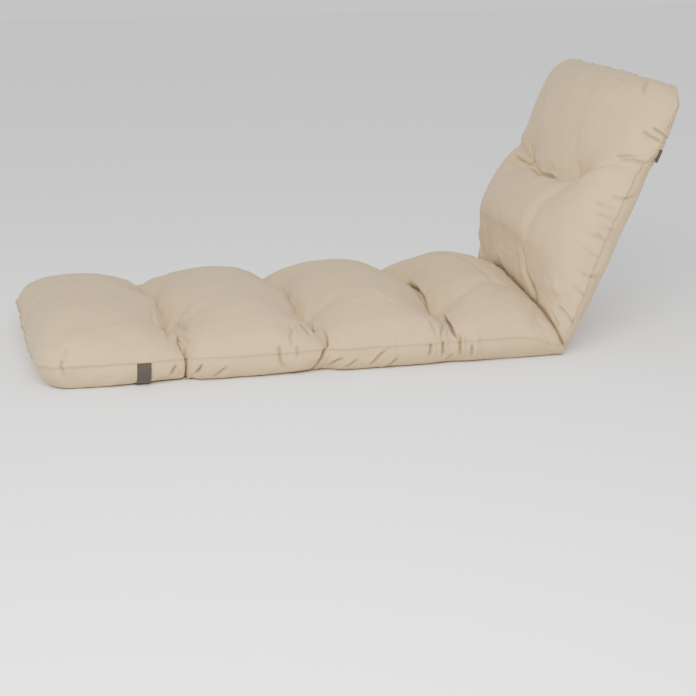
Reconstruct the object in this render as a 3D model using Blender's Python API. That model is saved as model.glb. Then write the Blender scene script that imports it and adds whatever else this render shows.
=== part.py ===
"""Tufted sun lounger cushion, bent the way it lies: a flat seat run and a raised back run.

Metres, +Z up. The seat run lies along X on its flat underside, foot end at -X, and the back run
leans towards +X. The near side is -Y. A station is a distance along the cushion from the bend:
negative on the seat, positive on the back. Every station has a height, square to the underside.
"""

import math

import bmesh
import bpy
import numpy as np
from mathutils import Matrix, Vector

# Driving sizes
SEAT_LENGTH = 1.13
BACK_LENGTH = 0.607
HALF_WIDTH = 0.305
BACK_ANGLE = math.radians(66.0)

# Edge shape: the seam runs round the cushion low on its side, and the cloth turns in under it
SEAM_HEIGHT = 0.058
SEAM_DIP = 0.028
SEAM_DIP_REACH = 0.050
UNDER_INSET_SEAT = 0.056
UNDER_INSET_BACK = 0.036
CORNER_RADIUS = 0.075
FOOT_ROUNDING = 0.105
HEAD_ROUNDING = 0.075
EDGE_POWER = 2.5
RIM_STEPS = 4
DRAW_REACH = 0.035

# Tufts: two in every channel, each a quarter of the width in from its side
TUFT_OFFSET = 0.150
TUFT_REACH = 0.058

# The inside of the bend: the seat and back press on each other along a line at this angle
PRESS_ANGLE = math.radians(67.0)
PRESS_REACH = 0.235

# Channels across the cushion: station at mid width, its shift at the near and the far side and
# how far along that shift fades, height between the tufts, how deep the tufts sink below that,
# how far the channel fills out again at the near side, and how far the sides are drawn in
CHANNELS = [
    {"name": "shin", "station": -0.838, "near": 0.020, "far": -0.026, "fade": 0.055,
     "floor": 0.080, "sink": 0.028, "fill": 0.000, "draw": 0.014},
    {"name": "knee", "station": -0.550, "near": 0.018, "far": -0.018, "fade": 0.070,
     "floor": 0.080, "sink": 0.028, "fill": 0.000, "draw": 0.012},
    {"name": "thigh", "station": -0.258, "near": -0.008, "far": -0.030, "fade": 0.070,
     "floor": 0.078, "sink": 0.026, "fill": 0.010, "draw": 0.006},
    {"name": "bend", "station": 0.000, "near": 0.000, "far": 0.000, "fade": 0.070,
     "floor": 0.126, "sink": 0.022, "fill": 0.000, "draw": 0.008},
    {"name": "shoulder", "station": 0.345, "near": 0.088, "far": 0.026, "fade": 0.220,
     "floor": 0.088, "sink": 0.020, "fill": 0.030, "draw": 0.012},
]

# Filled sections between the channels: crown height, where along its length the crown is, and
# how square its shoulders are
SECTIONS = [
    {"name": "feet", "crown": 0.148, "peak": 0.45, "power": 2.3},
    {"name": "calves", "crown": 0.151, "peak": 0.50, "power": 2.3},
    {"name": "knees", "crown": 0.149, "peak": 0.50, "power": 2.3},
    {"name": "hips", "crown": 0.152, "peak": 0.66, "power": 2.6},
    {"name": "waist", "crown": 0.152, "peak": 0.55, "power": 2.3},
    {"name": "head", "crown": 0.117, "peak": 0.45, "power": 2.0},
]
SECTION_ROUND = 0.62

# Main folds in the top cloth: middle (station and y), the way it runs from the station axis
# towards +y in degrees, half length, half width, and rise, negative for a crease
FOLD_COLUMNS = ("name", "station", "y", "turn", "long", "wide", "rise")
FOLD_ROWS = [
    ("shin_roll", -0.846, -0.215, 80, 0.045, 0.017, 0.016),
    ("shin_crease", -0.814, -0.235, 78, 0.045, 0.014, -0.012),
    ("thigh_roll", -0.286, -0.235, 85, 0.045, 0.017, 0.014),
    ("thigh_tuck", -0.222, -0.255, 60, 0.040, 0.017, 0.010),
    ("hip_crease", -0.150, 0.020, 60, 0.080, 0.022, -0.005),
    ("waist_fold", 0.145, -0.158, 43, 0.055, 0.020, -0.010),
    ("waist_tuck", 0.128, 0.075, 0, 0.035, 0.017, -0.010),
    ("waist_far", 0.118, 0.187, 78, 0.050, 0.018, -0.010),
    ("tuft_crease", 0.368, 0.172, -36, 0.035, 0.017, -0.014),
    ("tuft_fold", 0.385, -0.165, -40, 0.040, 0.019, -0.010),
    ("head_dip", 0.480, 0.060, 15, 0.090, 0.040, -0.005),
]
FOLDS = [dict(zip(FOLD_COLUMNS, row)) for row in FOLD_ROWS]

# Elastic straps: the station of each one's middle
STRAPS = {"strap_foot": -0.910, "strap_back": 0.467}
STRAP_WIDTH = 0.029
STRAP_CLEAR = 0.0006
STRAP_OUTER = 0.0021
GROOVE_DEPTH = 0.0026
GROOVE_LIP = 0.0015

# Mesh density
STATION_STEP = 0.0205
BEND_STEP = 0.007
COLUMNS = 34
END_STEPS = 5
SKEW_STEPS = 30
TINY = 1e-6

CLOTH = {"colour": (0.56, 0.465, 0.34), "roughness": 0.85}
ELASTIC = {"colour": (0.155, 0.135, 0.105), "roughness": 0.75}


def clear_scene():
    for old in list(bpy.data.objects):
        bpy.data.objects.remove(old)


def material(name, look):
    made = bpy.data.materials.new(name)
    made.use_nodes = True
    shader = made.node_tree.nodes["Principled BSDF"]
    shader.inputs["Base Color"].default_value = (*look["colour"], 1.0)
    shader.inputs["Roughness"].default_value = look["roughness"]
    shader.inputs["Metallic"].default_value = 0.0
    return made


def smooth(x):
    x = np.clip(x, 0.0, 1.0)
    return x * x * (3.0 - 2.0 * x)


def skew(station, across):
    """How far a row is shifted along at a place across the width, -1 near side to 1 far side."""
    shift = 0.0
    for channel in CHANNELS:
        side = channel["near"] if across < 0 else channel["far"]
        away = abs(station - channel["station"]) / channel["fade"]
        shift += side * across * across * smooth(1.0 - away)
    return shift


def row_at(station, across):
    """The row that passes through a station at a place across the width."""
    row = station
    for _ in range(SKEW_STEPS):
        row = station - skew(row, across)
    return row


def half_width(row):
    """Distance from the middle to the seam: rounded corners, and sides drawn in at each channel."""
    left = min(row + SEAT_LENGTH, BACK_LENGTH - row)
    width = HALF_WIDTH
    if left < CORNER_RADIUS:
        short = CORNER_RADIUS - max(left, 0.0)
        width += math.sqrt(CORNER_RADIUS**2 - short**2) - CORNER_RADIUS
    for channel in CHANNELS:
        away = (row - channel["station"]) / DRAW_REACH
        width -= channel["draw"] * math.exp(-away * away)
    return width


def seam_height(row):
    away = row / SEAM_DIP_REACH
    return SEAM_HEIGHT - SEAM_DIP * math.exp(-away * away)


def channel_floor(channel, across):
    """Height of the cloth along a channel, lowest where the tufts hold it down."""
    away = (abs(across) * HALF_WIDTH - TUFT_OFFSET) / TUFT_REACH
    filled = channel["fill"] * smooth(-2.0 * across - 1.0)
    return channel["floor"] + filled - channel["sink"] * math.exp(-away * away)


def filled_height(row, across):
    """Height of the top before it is rounded off towards the seam."""
    lines = [channel["station"] for channel in CHANNELS]
    starts = [-SEAT_LENGTH, *lines]
    ends = [*lines, BACK_LENGTH]
    index = sum(row >= line for line in lines)
    section = SECTIONS[index]
    share = (row - starts[index]) / (ends[index] - starts[index])
    crown = section["crown"]
    before = channel_floor(CHANNELS[index - 1], across) if index else crown
    after = channel_floor(CHANNELS[index], across) if index < len(CHANNELS) else crown
    if share < section["peak"]:
        low, reach = before, 1.0 - share / section["peak"]
    else:
        low, reach = after, (share - section["peak"]) / (1.0 - section["peak"])
    arch = max(0.0, 1.0 - min(1.0, reach) ** section["power"]) ** SECTION_ROUND
    return low + (crown - low) * arch


def rounding(share):
    """Fall of the top towards an edge: 1 inside, 0 at the edge, where share is 1."""
    return math.sqrt(max(0.0, 1.0 - min(1.0, abs(share)) ** EDGE_POWER))


def fold_rise(station, y):
    """Rise of the cloth from the main folds at a place on the cushion."""
    rise = 0.0
    for fold in FOLDS:
        turn = math.radians(fold["turn"])
        ds, dy = station - fold["station"], y - fold["y"]
        along = (ds * math.cos(turn) + dy * math.sin(turn)) / fold["long"]
        aside = (dy * math.cos(turn) - ds * math.sin(turn)) / fold["wide"]
        rise += fold["rise"] * math.exp(-along * along - aside * aside)
    return rise


def top_height(row, across):
    foot = rounding(1.0 - min(1.0, (row + SEAT_LENGTH) / FOOT_ROUNDING))
    head = rounding(1.0 - min(1.0, (BACK_LENGTH - row) / HEAD_ROUNDING))
    seam = seam_height(row)
    filled = filled_height(row, across) + fold_rise(row + skew(row, across), half_width(row) * across)
    return seam + (filled - seam) * rounding(across) * foot * head


def place(station, y, height):
    """A station, a distance across and a height as a point, measured from the bend."""
    press = smooth(1.0 - abs(station) / PRESS_REACH)
    if station <= 0.0:
        return Vector((station - press * height / math.tan(PRESS_ANGLE), y, height))
    rest = math.pi - BACK_ANGLE - PRESS_ANGLE
    height *= 1.0 - press * (1.0 - math.sin(rest) / math.sin(PRESS_ANGLE))
    along = station + press * height / math.tan(rest)
    cos, sin = math.cos(BACK_ANGLE), math.sin(BACK_ANGLE)
    return Vector((along * cos - height * sin, y, along * sin + height * cos))


def stations():
    """Rows from foot to head, closer at both ends and at the bend, with four at the groove."""
    foot = [FOOT_ROUNDING * (1 - math.cos(math.pi / 2 * i / END_STEPS)) for i in range(END_STEPS)]
    head = [HEAD_ROUNDING * (1 - math.cos(math.pi / 2 * i / END_STEPS)) for i in range(END_STEPS)]
    stops = [-SEAT_LENGTH + FOOT_ROUNDING]
    stops += [channel["station"] for channel in CHANNELS]
    stops += [BACK_LENGTH - HEAD_ROUNDING]
    rows = [f - SEAT_LENGTH for f in foot] + [BACK_LENGTH - h for h in head]
    for start, stop in zip(stops, stops[1:]):
        count = round((stop - start) / STATION_STEP)
        rows += [start + (stop - start) * i / count for i in range(count)]
    rows += [stops[-1], -BEND_STEP, BEND_STEP]
    half = STRAP_WIDTH / 2 + GROOVE_LIP
    rows = [r for r in rows if abs(r - STRAPS["strap_foot"]) > half + 2 * GROOVE_LIP]
    for side in (-1, 1):
        rows += [STRAPS["strap_foot"] + side * half, STRAPS["strap_foot"] + side * (half + GROOVE_LIP)]
    return sorted(rows)


def in_groove(row):
    return abs(row - STRAPS["strap_foot"]) <= STRAP_WIDTH / 2 + GROOVE_LIP + TINY


def inward(point):
    """Way from a point of the seam, as (station, y), towards the middle of the cushion."""
    side = HALF_WIDTH - CORNER_RADIUS
    station = min(max(point.x, CORNER_RADIUS - SEAT_LENGTH), BACK_LENGTH - CORNER_RADIUS)
    centre = Vector((station, min(max(point.y, -side), side)))
    return (centre - point).normalized()


def rim_profile(step, row):
    """Inset and share of the seam's height at one step of the turn from the seam to the underside."""
    angle = math.pi / 2 * step / RIM_STEPS
    inset = UNDER_INSET_SEAT + (UNDER_INSET_BACK - UNDER_INSET_SEAT) * smooth(row / PRESS_REACH)
    return inset * (1 - math.cos(angle)), 1 - math.sin(angle)


def cushion_mesh(rows):
    """The filled cushion: a top grid, a rim that turns in under the seam, and a flat underside."""
    bm = bmesh.new()
    across = [math.sin(math.pi / 2 * (2 * j / COLUMNS - 1)) for j in range(COLUMNS + 1)]
    last = len(rows) - 1

    top = []
    for row in rows:
        line = []
        for a in across:
            point = place(row + skew(row, a), half_width(row) * a, top_height(row, a))
            line.append(bm.verts.new(point))
        top.append(line)
    for i in range(last):
        for j in range(COLUMNS):
            bm.faces.new((top[i][j], top[i + 1][j], top[i + 1][j + 1], top[i][j + 1]))

    # The seam as a loop of (row, column), counter-clockwise from above
    loop = [(i, 0) for i in range(last)]
    loop += [(last, j) for j in range(COLUMNS)]
    loop += [(i, COLUMNS) for i in range(last, 0, -1)]
    loop += [(0, j) for j in range(COLUMNS, 0, -1)]
    rings = [[top[i][j] for i, j in loop]]
    for step in range(1, RIM_STEPS + 1):
        ring = []
        for i, j in loop:
            row = rows[i]
            inset, share = rim_profile(step, row)
            point = Vector((row + skew(row, across[j]), half_width(row) * across[j]))
            point += inward(point) * inset
            height = seam_height(row) * share
            if step == RIM_STEPS and in_groove(row) and j in (0, COLUMNS):
                height = GROOVE_DEPTH
            ring.append(bm.verts.new(place(point.x, point.y, height)))
        rings.append(ring)
    count = len(loop)
    for outer, inner in zip(rings, rings[1:]):
        for k in range(count):
            n = (k + 1) % count
            bm.faces.new((outer[k], inner[k], inner[n], outer[n]))

    # Underside: one flat face between each pair of rows where its level or slope changes
    where = {key: rings[-1][k] for k, key in enumerate(loop)}
    near = [where[(i, 0)] for i in range(last)] + [where[(last, 0)]]
    far = [where[(0, COLUMNS)]] + [where[(i, COLUMNS)] for i in range(1, last + 1)]
    foot = [where[(0, j)] for j in range(1, COLUMNS)]
    head = [where[(last, j)] for j in range(1, COLUMNS)]
    breaks = [0, last]
    for i in range(1, last):
        lone = in_groove(rows[i]) or in_groove(rows[i - 1]) or in_groove(rows[i + 1])
        if lone or rows[i] == 0.0:
            breaks.append(i)
    breaks.sort()
    for first, second in zip(breaks, breaks[1:]):
        face = far[first : second + 1]
        face += reversed(head) if second == last else []
        face += near[first : second + 1][::-1]
        face += foot if first == 0 else []
        bm.faces.new(face)

    bmesh.ops.recalc_face_normals(bm, faces=bm.faces)
    bmesh.ops.triangulate(bm, faces=bm.faces)
    mesh = bpy.data.meshes.new("cushion")
    bm.to_mesh(mesh)
    bm.free()
    return mesh


def strap_line(centre, clear):
    """A line across the cushion as (y, height), this far outside the widest cloth at the strap."""
    floor = GROOVE_DEPTH if in_groove(centre) else 0.0
    path = []
    for side in (-1, 1):
        spread = [centre + STRAP_WIDTH * k / 2 for k in (-1, 0, 1)]
        row = max((row_at(station, side) for station in spread), key=half_width)
        line = []
        for step in range(RIM_STEPS + 1):
            inset, share = rim_profile(step, row)
            line.append(Vector((side * (half_width(row) - inset), seam_height(row) * share)))
        line[-1].y = floor
        path += line if side < 0 else line[::-1]
    moved = []
    for k, point in enumerate(path):
        run = (path[min(k + 1, len(path) - 1)] - path[max(k - 1, 0)]).normalized()
        moved.append(point + Vector((run.y, -run.x)) * clear)
    return moved


def strap_mesh(name, centre):
    """A flat elastic strap from seam to seam, round the underside of the cushion."""
    bm = bmesh.new()
    corners = []
    for side, clear in ((-1, STRAP_CLEAR), (1, STRAP_CLEAR), (1, STRAP_OUTER), (-1, STRAP_OUTER)):
        station = centre + side * STRAP_WIDTH / 2
        line = strap_line(centre, clear)
        corners.append([bm.verts.new(place(station, point.x, point.y)) for point in line])
    for k in range(len(corners[0]) - 1):
        for a, b in zip(corners, corners[1:] + corners[:1]):
            bm.faces.new((a[k], a[k + 1], b[k + 1], b[k]))
    for k in (0, -1):
        bm.faces.new([corner[k] for corner in corners])
    bmesh.ops.recalc_face_normals(bm, faces=bm.faces)
    mesh = bpy.data.meshes.new(name)
    bm.to_mesh(mesh)
    bm.free()
    return mesh


def add(name, mesh, finish):
    made = bpy.data.objects.new(name, mesh)
    bpy.context.scene.collection.objects.link(made)
    mesh.materials.append(finish)
    mesh.shade_smooth()
    return made


def move_origin(parts):
    """Puts the origin under the middle of the whole part."""
    points = np.array([v.co for part in parts for v in part.data.vertices])
    low, high = points.min(axis=0), points.max(axis=0)
    shift = Vector((-(low[0] + high[0]) / 2, 0.0, 0.0))
    for part in parts:
        part.data.transform(Matrix.Translation(shift))


def main():
    clear_scene()
    cloth = material("cushion_cloth", CLOTH)
    elastic = material("strap_elastic", ELASTIC)
    parts = [add("cushion", cushion_mesh(stations()), cloth)]
    for name, centre in STRAPS.items():
        parts.append(add(name, strap_mesh(name, centre), elastic))
    move_origin(parts)


main()
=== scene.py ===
"""A tufted sun lounger cushion, dressed: stuffed woven cloth, sewn seams and elastic straps.

Metres, +Z up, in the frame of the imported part. A station is a distance along the cushion from
the bend, negative on the flat seat run and positive on the raised back run. A height is square
to the underside. Across runs from -1 at the near side (-Y) to 1 at the far side.
"""

import math

import bpy
import numpy as np
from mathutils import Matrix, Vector


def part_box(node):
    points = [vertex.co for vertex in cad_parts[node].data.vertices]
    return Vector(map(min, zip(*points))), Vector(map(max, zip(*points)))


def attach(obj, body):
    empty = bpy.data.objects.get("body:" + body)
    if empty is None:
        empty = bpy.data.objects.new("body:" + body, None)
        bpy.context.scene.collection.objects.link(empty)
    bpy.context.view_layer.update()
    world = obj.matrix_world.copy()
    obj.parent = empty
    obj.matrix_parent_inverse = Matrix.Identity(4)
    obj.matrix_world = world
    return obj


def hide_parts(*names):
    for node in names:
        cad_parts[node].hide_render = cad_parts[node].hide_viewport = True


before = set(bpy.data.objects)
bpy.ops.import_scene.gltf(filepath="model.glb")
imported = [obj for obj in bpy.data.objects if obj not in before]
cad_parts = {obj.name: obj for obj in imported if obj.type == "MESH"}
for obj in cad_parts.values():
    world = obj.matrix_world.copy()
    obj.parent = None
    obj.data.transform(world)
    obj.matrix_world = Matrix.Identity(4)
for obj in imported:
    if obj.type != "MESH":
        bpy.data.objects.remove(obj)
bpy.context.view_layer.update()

# Driving sizes, as in the part
SEAT_LENGTH = 1.13
BACK_LENGTH = 0.607
HALF_WIDTH = 0.305
BACK_ANGLE = math.radians(66.0)
BEND_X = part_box("cushion")[0].x + SEAT_LENGTH

# Edge shape
SEAM_HEIGHT = 0.058
SEAM_DIP = 0.028
SEAM_DIP_REACH = 0.050
SEAM_LOWEST = 0.016
SEAM_FAR = 0.75
SEAM_DROPS = [(0.016, 0.010, 0.110), (0.025, 0.290, 0.420)]
UNDER_INSET_SEAT = 0.056
UNDER_INSET_BACK = 0.036
CORNER_RADIUS = 0.075
FOOT_ROUNDING = 0.105
HEAD_ROUNDING = 0.075
HEAD_TURN = 0.009
HEAD_REACH = 0.200
EDGE_POWER = 2.5
DRAW_REACH = 0.035

# Tufts
TUFT_OFFSET = 0.150
TUFT_REACH = 0.058
TUFT_PIN = 0.006

# The inside of the bend
PRESS_ANGLE = math.radians(67.0)
PRESS_REACH = 0.235
PRESS_GAP = 0.0003

# Channels across the cushion, and the filled sections between them
CHANNELS = [
    {"name": "shin", "station": -0.838, "near": 0.020, "far": -0.026, "fade": 0.055,
     "floor": 0.084, "sink": 0.018, "fill": 0.000, "draw": 0.014},
    {"name": "knee", "station": -0.550, "near": 0.018, "far": -0.018, "fade": 0.070,
     "floor": 0.084, "sink": 0.020, "fill": 0.000, "draw": 0.012},
    {"name": "thigh", "station": -0.258, "near": -0.008, "far": -0.030, "fade": 0.070,
     "floor": 0.078, "sink": 0.024, "fill": 0.010, "draw": 0.006},
    {"name": "bend", "station": 0.000, "near": 0.000, "far": 0.000, "fade": 0.070,
     "floor": 0.122, "sink": 0.022, "fill": 0.000, "draw": 0.008},
    {"name": "shoulder", "station": 0.332, "near": 0.096, "far": 0.036, "fade": 0.220,
     "floor": 0.103, "sink": 0.018, "fill": 0.040, "fill_far": 0.022, "draw": 0.010},
]
SECTIONS = [
    {"name": "feet", "crown": 0.138, "peak": 0.45, "power": 2.3},
    {"name": "calves", "crown": 0.140, "peak": 0.50, "power": 2.3},
    {"name": "knees", "crown": 0.142, "peak": 0.50, "power": 2.3},
    {"name": "hips", "crown": 0.148, "peak": 0.66, "power": 2.8},
    {"name": "waist", "crown": 0.156, "peak": 0.58, "power": 2.4},
    {"name": "head", "crown": 0.120, "peak": 0.45, "power": 2.0},
]
SECTION_ROUND = 0.78

# Folds and creases: half width and rise in millimetres, a lip of cloth beside it (positive on the
# left of its run), then its run as (station, y), where y past the seam goes on down the side
CREASES = [
    ("shin_left", 5, -4, 0, [(-0.838, -0.125), (-0.852, -0.232), (-0.856, -0.273), (-0.853, -0.290)]),
    ("shin_right", 6, -3.5, 0, [(-0.826, -0.119), (-0.815, -0.160), (-0.811, -0.210), (-0.815, -0.245)]),
    ("shin_lobe", 10, 4, 0, [(-0.834, -0.170), (-0.834, -0.225), (-0.838, -0.262)]),
    ("shin_tuck", 3, -8, -2, [(-0.823, -0.303), (-0.829, -0.282), (-0.831, -0.255), (-0.830, -0.200)]),
    ("shin_side", 3, -8, -2, [(-0.820, -0.390), (-0.822, -0.330), (-0.823, -0.290), (-0.826, -0.240)]),
    ("shin_gather", 3.5, -7, 1, [(-0.854, -0.345), (-0.842, -0.315)]),
    ("shin_line", 4, -2, 1, [(-0.860, -0.060), (-0.868, -0.120), (-0.860, -0.190)]),
    ("foot_gather", 3, -5, 2, [(-1.073, -0.300), (-1.083, -0.340)]),
    ("foot_pucker", 3, -3, 1, [(-1.064, -0.280), (-1.067, -0.304)]),
    ("foot_wrinkle", 5, 1.5, 0, [(-1.116, -0.061), (-1.107, -0.085), (-1.093, -0.104)]),
    ("calf_gather", 3.2, -6, 1.5, [(-0.804, -0.345), (-0.791, -0.315)]),
    ("calf_low", 4, -4.5, 1.5, [(-0.764, -0.358), (-0.735, -0.322)]),
    ("knee_far", 6, -4, 0, [(-0.575, 0.200), (-0.560, 0.100), (-0.566, 0.000)]),
    ("knee_pit", 3.2, -8, 2, [(-0.570, -0.215), (-0.568, -0.255), (-0.559, -0.285)]),
    ("knee_second", 3.2, -6, 1.5, [(-0.540, -0.190), (-0.547, -0.248), (-0.540, -0.285)]),
    ("knee_roll", 3.2, -9, -2,
     [(-0.556, -0.380), (-0.545, -0.345), (-0.531, -0.303), (-0.526, -0.281), (-0.530, -0.230)]),
    ("knee_left", 3.5, -4, 1.5, [(-0.597, -0.250), (-0.604, -0.285), (-0.601, -0.304)]),
    ("knee_low", 3.5, -5.5, 2, [(-0.631, -0.300), (-0.630, -0.322), (-0.617, -0.355)]),
    ("knee_down", 3.5, -4, 1.5, [(-0.593, -0.300), (-0.592, -0.330)]),
    ("under_a", 3.5, -5.5, 2, [(-0.524, -0.350), (-0.508, -0.335), (-0.490, -0.328)]),
    ("under_b", 3.5, -5.5, 2, [(-0.488, -0.355), (-0.460, -0.332)]),
    ("under_c", 3.5, -5.5, 2, [(-0.436, -0.352), (-0.415, -0.325), (-0.393, -0.306)]),
    ("under_d", 3.5, -5.5, 2, [(-0.400, -0.368), (-0.374, -0.333)]),
    ("knees_line", 5, 1.6, 0, [(-0.390, -0.150), (-0.376, -0.189), (-0.343, -0.207), (-0.312, -0.235)]),
    ("knees_soft", 7, 1.4, 0, [(-0.462, -0.188), (-0.432, -0.182), (-0.400, -0.170)]),
    ("thigh_far", 3.5, -7, 0, [(-0.300, 0.235), (-0.285, 0.180)]),
    ("thigh_valley", 3.2, -9, 1, [(-0.266, 0.175), (-0.252, 0.090), (-0.252, 0.000), (-0.260, -0.140)]),
    ("thigh_pit", 5, -10, 1, [(-0.262, -0.150), (-0.272, -0.190), (-0.268, -0.240), (-0.262, -0.262)]),
    ("thigh_tuck", 3, -9, 2,
     [(-0.250, -0.185), (-0.256, -0.240), (-0.256, -0.285), (-0.250, -0.306), (-0.247, -0.330)]),
    ("thigh_left", 3, -4, 1, [(-0.303, -0.250), (-0.297, -0.289), (-0.289, -0.304)]),
    ("thigh_cross", 3, -3.5, 1, [(-0.270, -0.262), (-0.283, -0.292), (-0.289, -0.315)]),
    ("thigh_low_a", 3, -5.5, 2, [(-0.308, -0.306), (-0.309, -0.350)]),
    ("thigh_low_b", 3, -6, 2, [(-0.282, -0.304), (-0.279, -0.352)]),
    ("thigh_low_c", 3, -5, 1.5, [(-0.272, -0.356), (-0.255, -0.335)]),
    ("thigh_low_d", 3, -6, 2.5, [(-0.245, -0.300), (-0.241, -0.360)]),
    ("thigh_low_e", 3, -5, 1.5, [(-0.219, -0.318), (-0.215, -0.360)]),
    ("hip_line", 9, -2.5, 0,
     [(-0.094, 0.090), (-0.084, 0.030), (-0.075, -0.120), (-0.066, -0.205), (-0.040, -0.245)]),
    ("bend_far", 4, -8, -1, [(0.004, 0.195), (0.024, 0.222), (0.052, 0.240), (0.085, 0.248)]),
    ("bend_tuck", 4.5, -10, -1, [(0.004, 0.095), (0.020, 0.118), (0.050, 0.140), (0.105, 0.150)]),
    ("bend_fold", 10, 1.6, 0, [(0.020, -0.125), (0.045, -0.098), (0.085, -0.088), (0.175, -0.088)]),
    ("bend_pit", 8, -7, 0,
     [(0.006, -0.190), (0.018, -0.160), (0.040, -0.130), (0.080, -0.116), (0.120, -0.112)]),
    ("near_fold", 3.2, -4, 1.2, [(0.030, -0.275), (0.049, -0.305), (0.062, -0.340)]),
    ("near_tuck", 3.2, -4, 1.2, [(0.012, -0.272), (0.010, -0.300)]),
    ("back_gather", 3.2, -4, 1.2, [(0.168, -0.300), (0.186, -0.346)]),
    ("seam_a", 3.2, -4, 1.2, [(0.307, -0.290), (0.309, -0.325)]),
    ("seam_b", 3.2, -4, 1.2, [(0.290, -0.300), (0.289, -0.340)]),
    ("seam_c", 3.2, -4, 1.2, [(0.352, -0.300), (0.375, -0.345)]),
    ("seam_e", 2.8, -4, 1, [(0.262, -0.285), (0.268, -0.318)]),
    ("seam_f", 3, -3.5, 1, [(0.228, -0.292), (0.221, -0.322)]),
    ("seam_g", 2.8, -4, 1, [(0.326, -0.282), (0.333, -0.312)]),
    ("seam_h", 3, -3.5, 1, [(0.118, -0.296), (0.126, -0.330)]),
    ("seam_d", 3.2, -4, 1.2, [(0.272, -0.300), (0.250, -0.325)]),
    ("tuft_up", 3.2, -10, 0, [(0.334, 0.150), (0.348, 0.166), (0.363, 0.170), (0.388, 0.168)]),
    ("tuft_right", 4, -4.5, 0.5, [(0.334, 0.148), (0.342, 0.115), (0.345, 0.070)]),
    ("tuft_left", 3.5, -6, 0.5, [(0.335, 0.160), (0.337, 0.195), (0.340, 0.245)]),
    ("tuft_edge", 3.2, -6, 1, [(0.392, 0.262), (0.372, 0.245), (0.356, 0.225)]),
    ("tuft_low", 5, -2, 0.5, [(0.321, 0.139), (0.324, 0.205), (0.320, 0.251)]),
    ("tuft_soft", 7, -2, 0, [(0.281, 0.164), (0.293, 0.138), (0.309, 0.126)]),
    ("tuft_arc", 3, -8, 0.5,
     [(0.328, 0.094), (0.328, 0.048), (0.331, -0.008), (0.334, -0.078), (0.337, -0.138)]),
    ("other_up", 6, -3.5, 0, [(0.339, -0.152), (0.354, -0.140), (0.376, -0.140), (0.393, -0.152)]),
    ("other_side", 7, -2.5, 0, [(0.340, -0.160), (0.360, -0.172), (0.378, -0.190)]),
    ("head_a", 2.6, -4.5, 0.5, [(0.503, -0.285), (0.496, -0.304), (0.490, -0.325)]),
    ("head_b", 2.6, -5, 0.5, [(0.518, -0.295), (0.508, -0.315), (0.500, -0.347)]),
    ("head_c", 4, -4, 1, [(0.436, -0.265), (0.450, -0.304)]),
    ("head_d", 4, -4, 1, [(0.432, -0.280), (0.446, -0.325)]),
    ("head_top", 4, -4, 1, [(0.612, -0.175), (0.596, -0.160), (0.582, -0.135)]),
    ("head_rim", 5, -3, 1, [(0.612, -0.060), (0.594, -0.068), (0.575, -0.066)]),
    ("head_corner", 5, -4, 1.5, [(0.612, -0.235), (0.594, -0.240), (0.566, -0.255)]),
    ("head_edge", 6, -2, 1, [(0.471, 0.172), (0.475, 0.118)]),
]
CREASE_SCALE = 1.5
# Painted shade in the creases: the crease depth at which the painted shade is darkest
CREASE_DARK = 0.0105
LIP_OFFSET = 2.0
LIP_WIDTH = 1.3
# Painted shade: its width beside the crease line, the share of depth below which none is painted, and
# its reach along the bend line
SHADE_WIDTH = 0.75
SHADE_FROM = 0.25
BEND_SHADE_REACH = 0.0065

# Cloth mesh: spacing of the settled cloth, FINER times that of the finished one
FINER = 4
ROW_SPACING = 0.0140
CHANNEL_SPACING = 0.0082
CHANNEL_NEAR = 0.045
CHANNEL_FAR = 0.095
NEAR_SPACING = 0.0086
FAR_SPACING = 0.0140
PROFILE_SAMPLES = 6000
RINGS = 20

# Settling
FRAMES = 40
PRESSURE = 5.0
CLOTH_SETTINGS = {
    "quality": 6,
    "mass": 0.15,
    "air_damping": 2.0,
    "tension_stiffness": 25,
    "compression_stiffness": 25,
    "shear_stiffness": 8,
    "bending_stiffness": 0.15,
    "tension_damping": 5,
    "compression_damping": 5,
    "shear_damping": 5,
    "bending_damping": 0.5,
}
SLACK = 0.04
GATHER_REACH = 0.02
SEAM_GATHER = 0.03
ROUGH = 0.0012
FINE_RADIUS = 0.7
SOFT_RADIUS = 2.8
SOFT_KEPT = 0.05
FOLDS_KEPT = 1.0
LIMIT = 0.010

# Seam: a raised edge with a shadow line below it, and small puckers along it
SEAM_EDGE = 0.0016
SEAM_EDGE_REACH = 0.003
SEAM_SHADOW = 0.0014
SEAM_SHADOW_DOWN = 0.007
SEAM_SHADOW_REACH = 0.004
PUCKER = 0.0015
PUCKER_LENGTH = 0.017
PUCKER_REACH = 0.020
END_PUCKER = 0.12
SWELL = 0.0011
SWELL_WAVES = 9
SWELL_LENGTHS = (0.09, 0.22)
SEAM_CORD = (0.0011, 0.0008)
SEAM_SIDES = 6

# Straps
STRAPS = {"strap_foot": -0.910, "strap_back": 0.467}
STRAP_WIDTH = 0.029
STRAP_CLEAR = 0.0006
STRAP_THICK = 0.0013
STRAP_EDGE = 0.0003
STRAP_START = 0.45
STRAP_STEPS = 140
STRAP_COLUMNS = 15
GROOVE_DEPTH = 0.0026
GROOVE_HALF = 0.0185

# Cloth and webbing: darkest and palest colour, colour of the painted shade multiplied into the deepest
# folds, width of a thread
CLOTH_COLOURS = [(0.448, 0.320, 0.160), (0.506, 0.370, 0.193)]
STRAP_COLOURS = [(0.030, 0.026, 0.019), (0.048, 0.042, 0.031)]
PAINTED_SHADE_COLOUR = (0.26, 0.24, 0.21)
THREAD = 0.0009
STRAP_THREAD = 0.0016
TONE_RANGE = (0.25, 0.75)
SLUB_SCALES = ((30.0, 700.0), (700.0, 30.0))
ROUGHNESS_SPREAD = 0.06
CRUMPLE_HEIGHT = 0.0018
THREAD_HEIGHT = 0.00025

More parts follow.
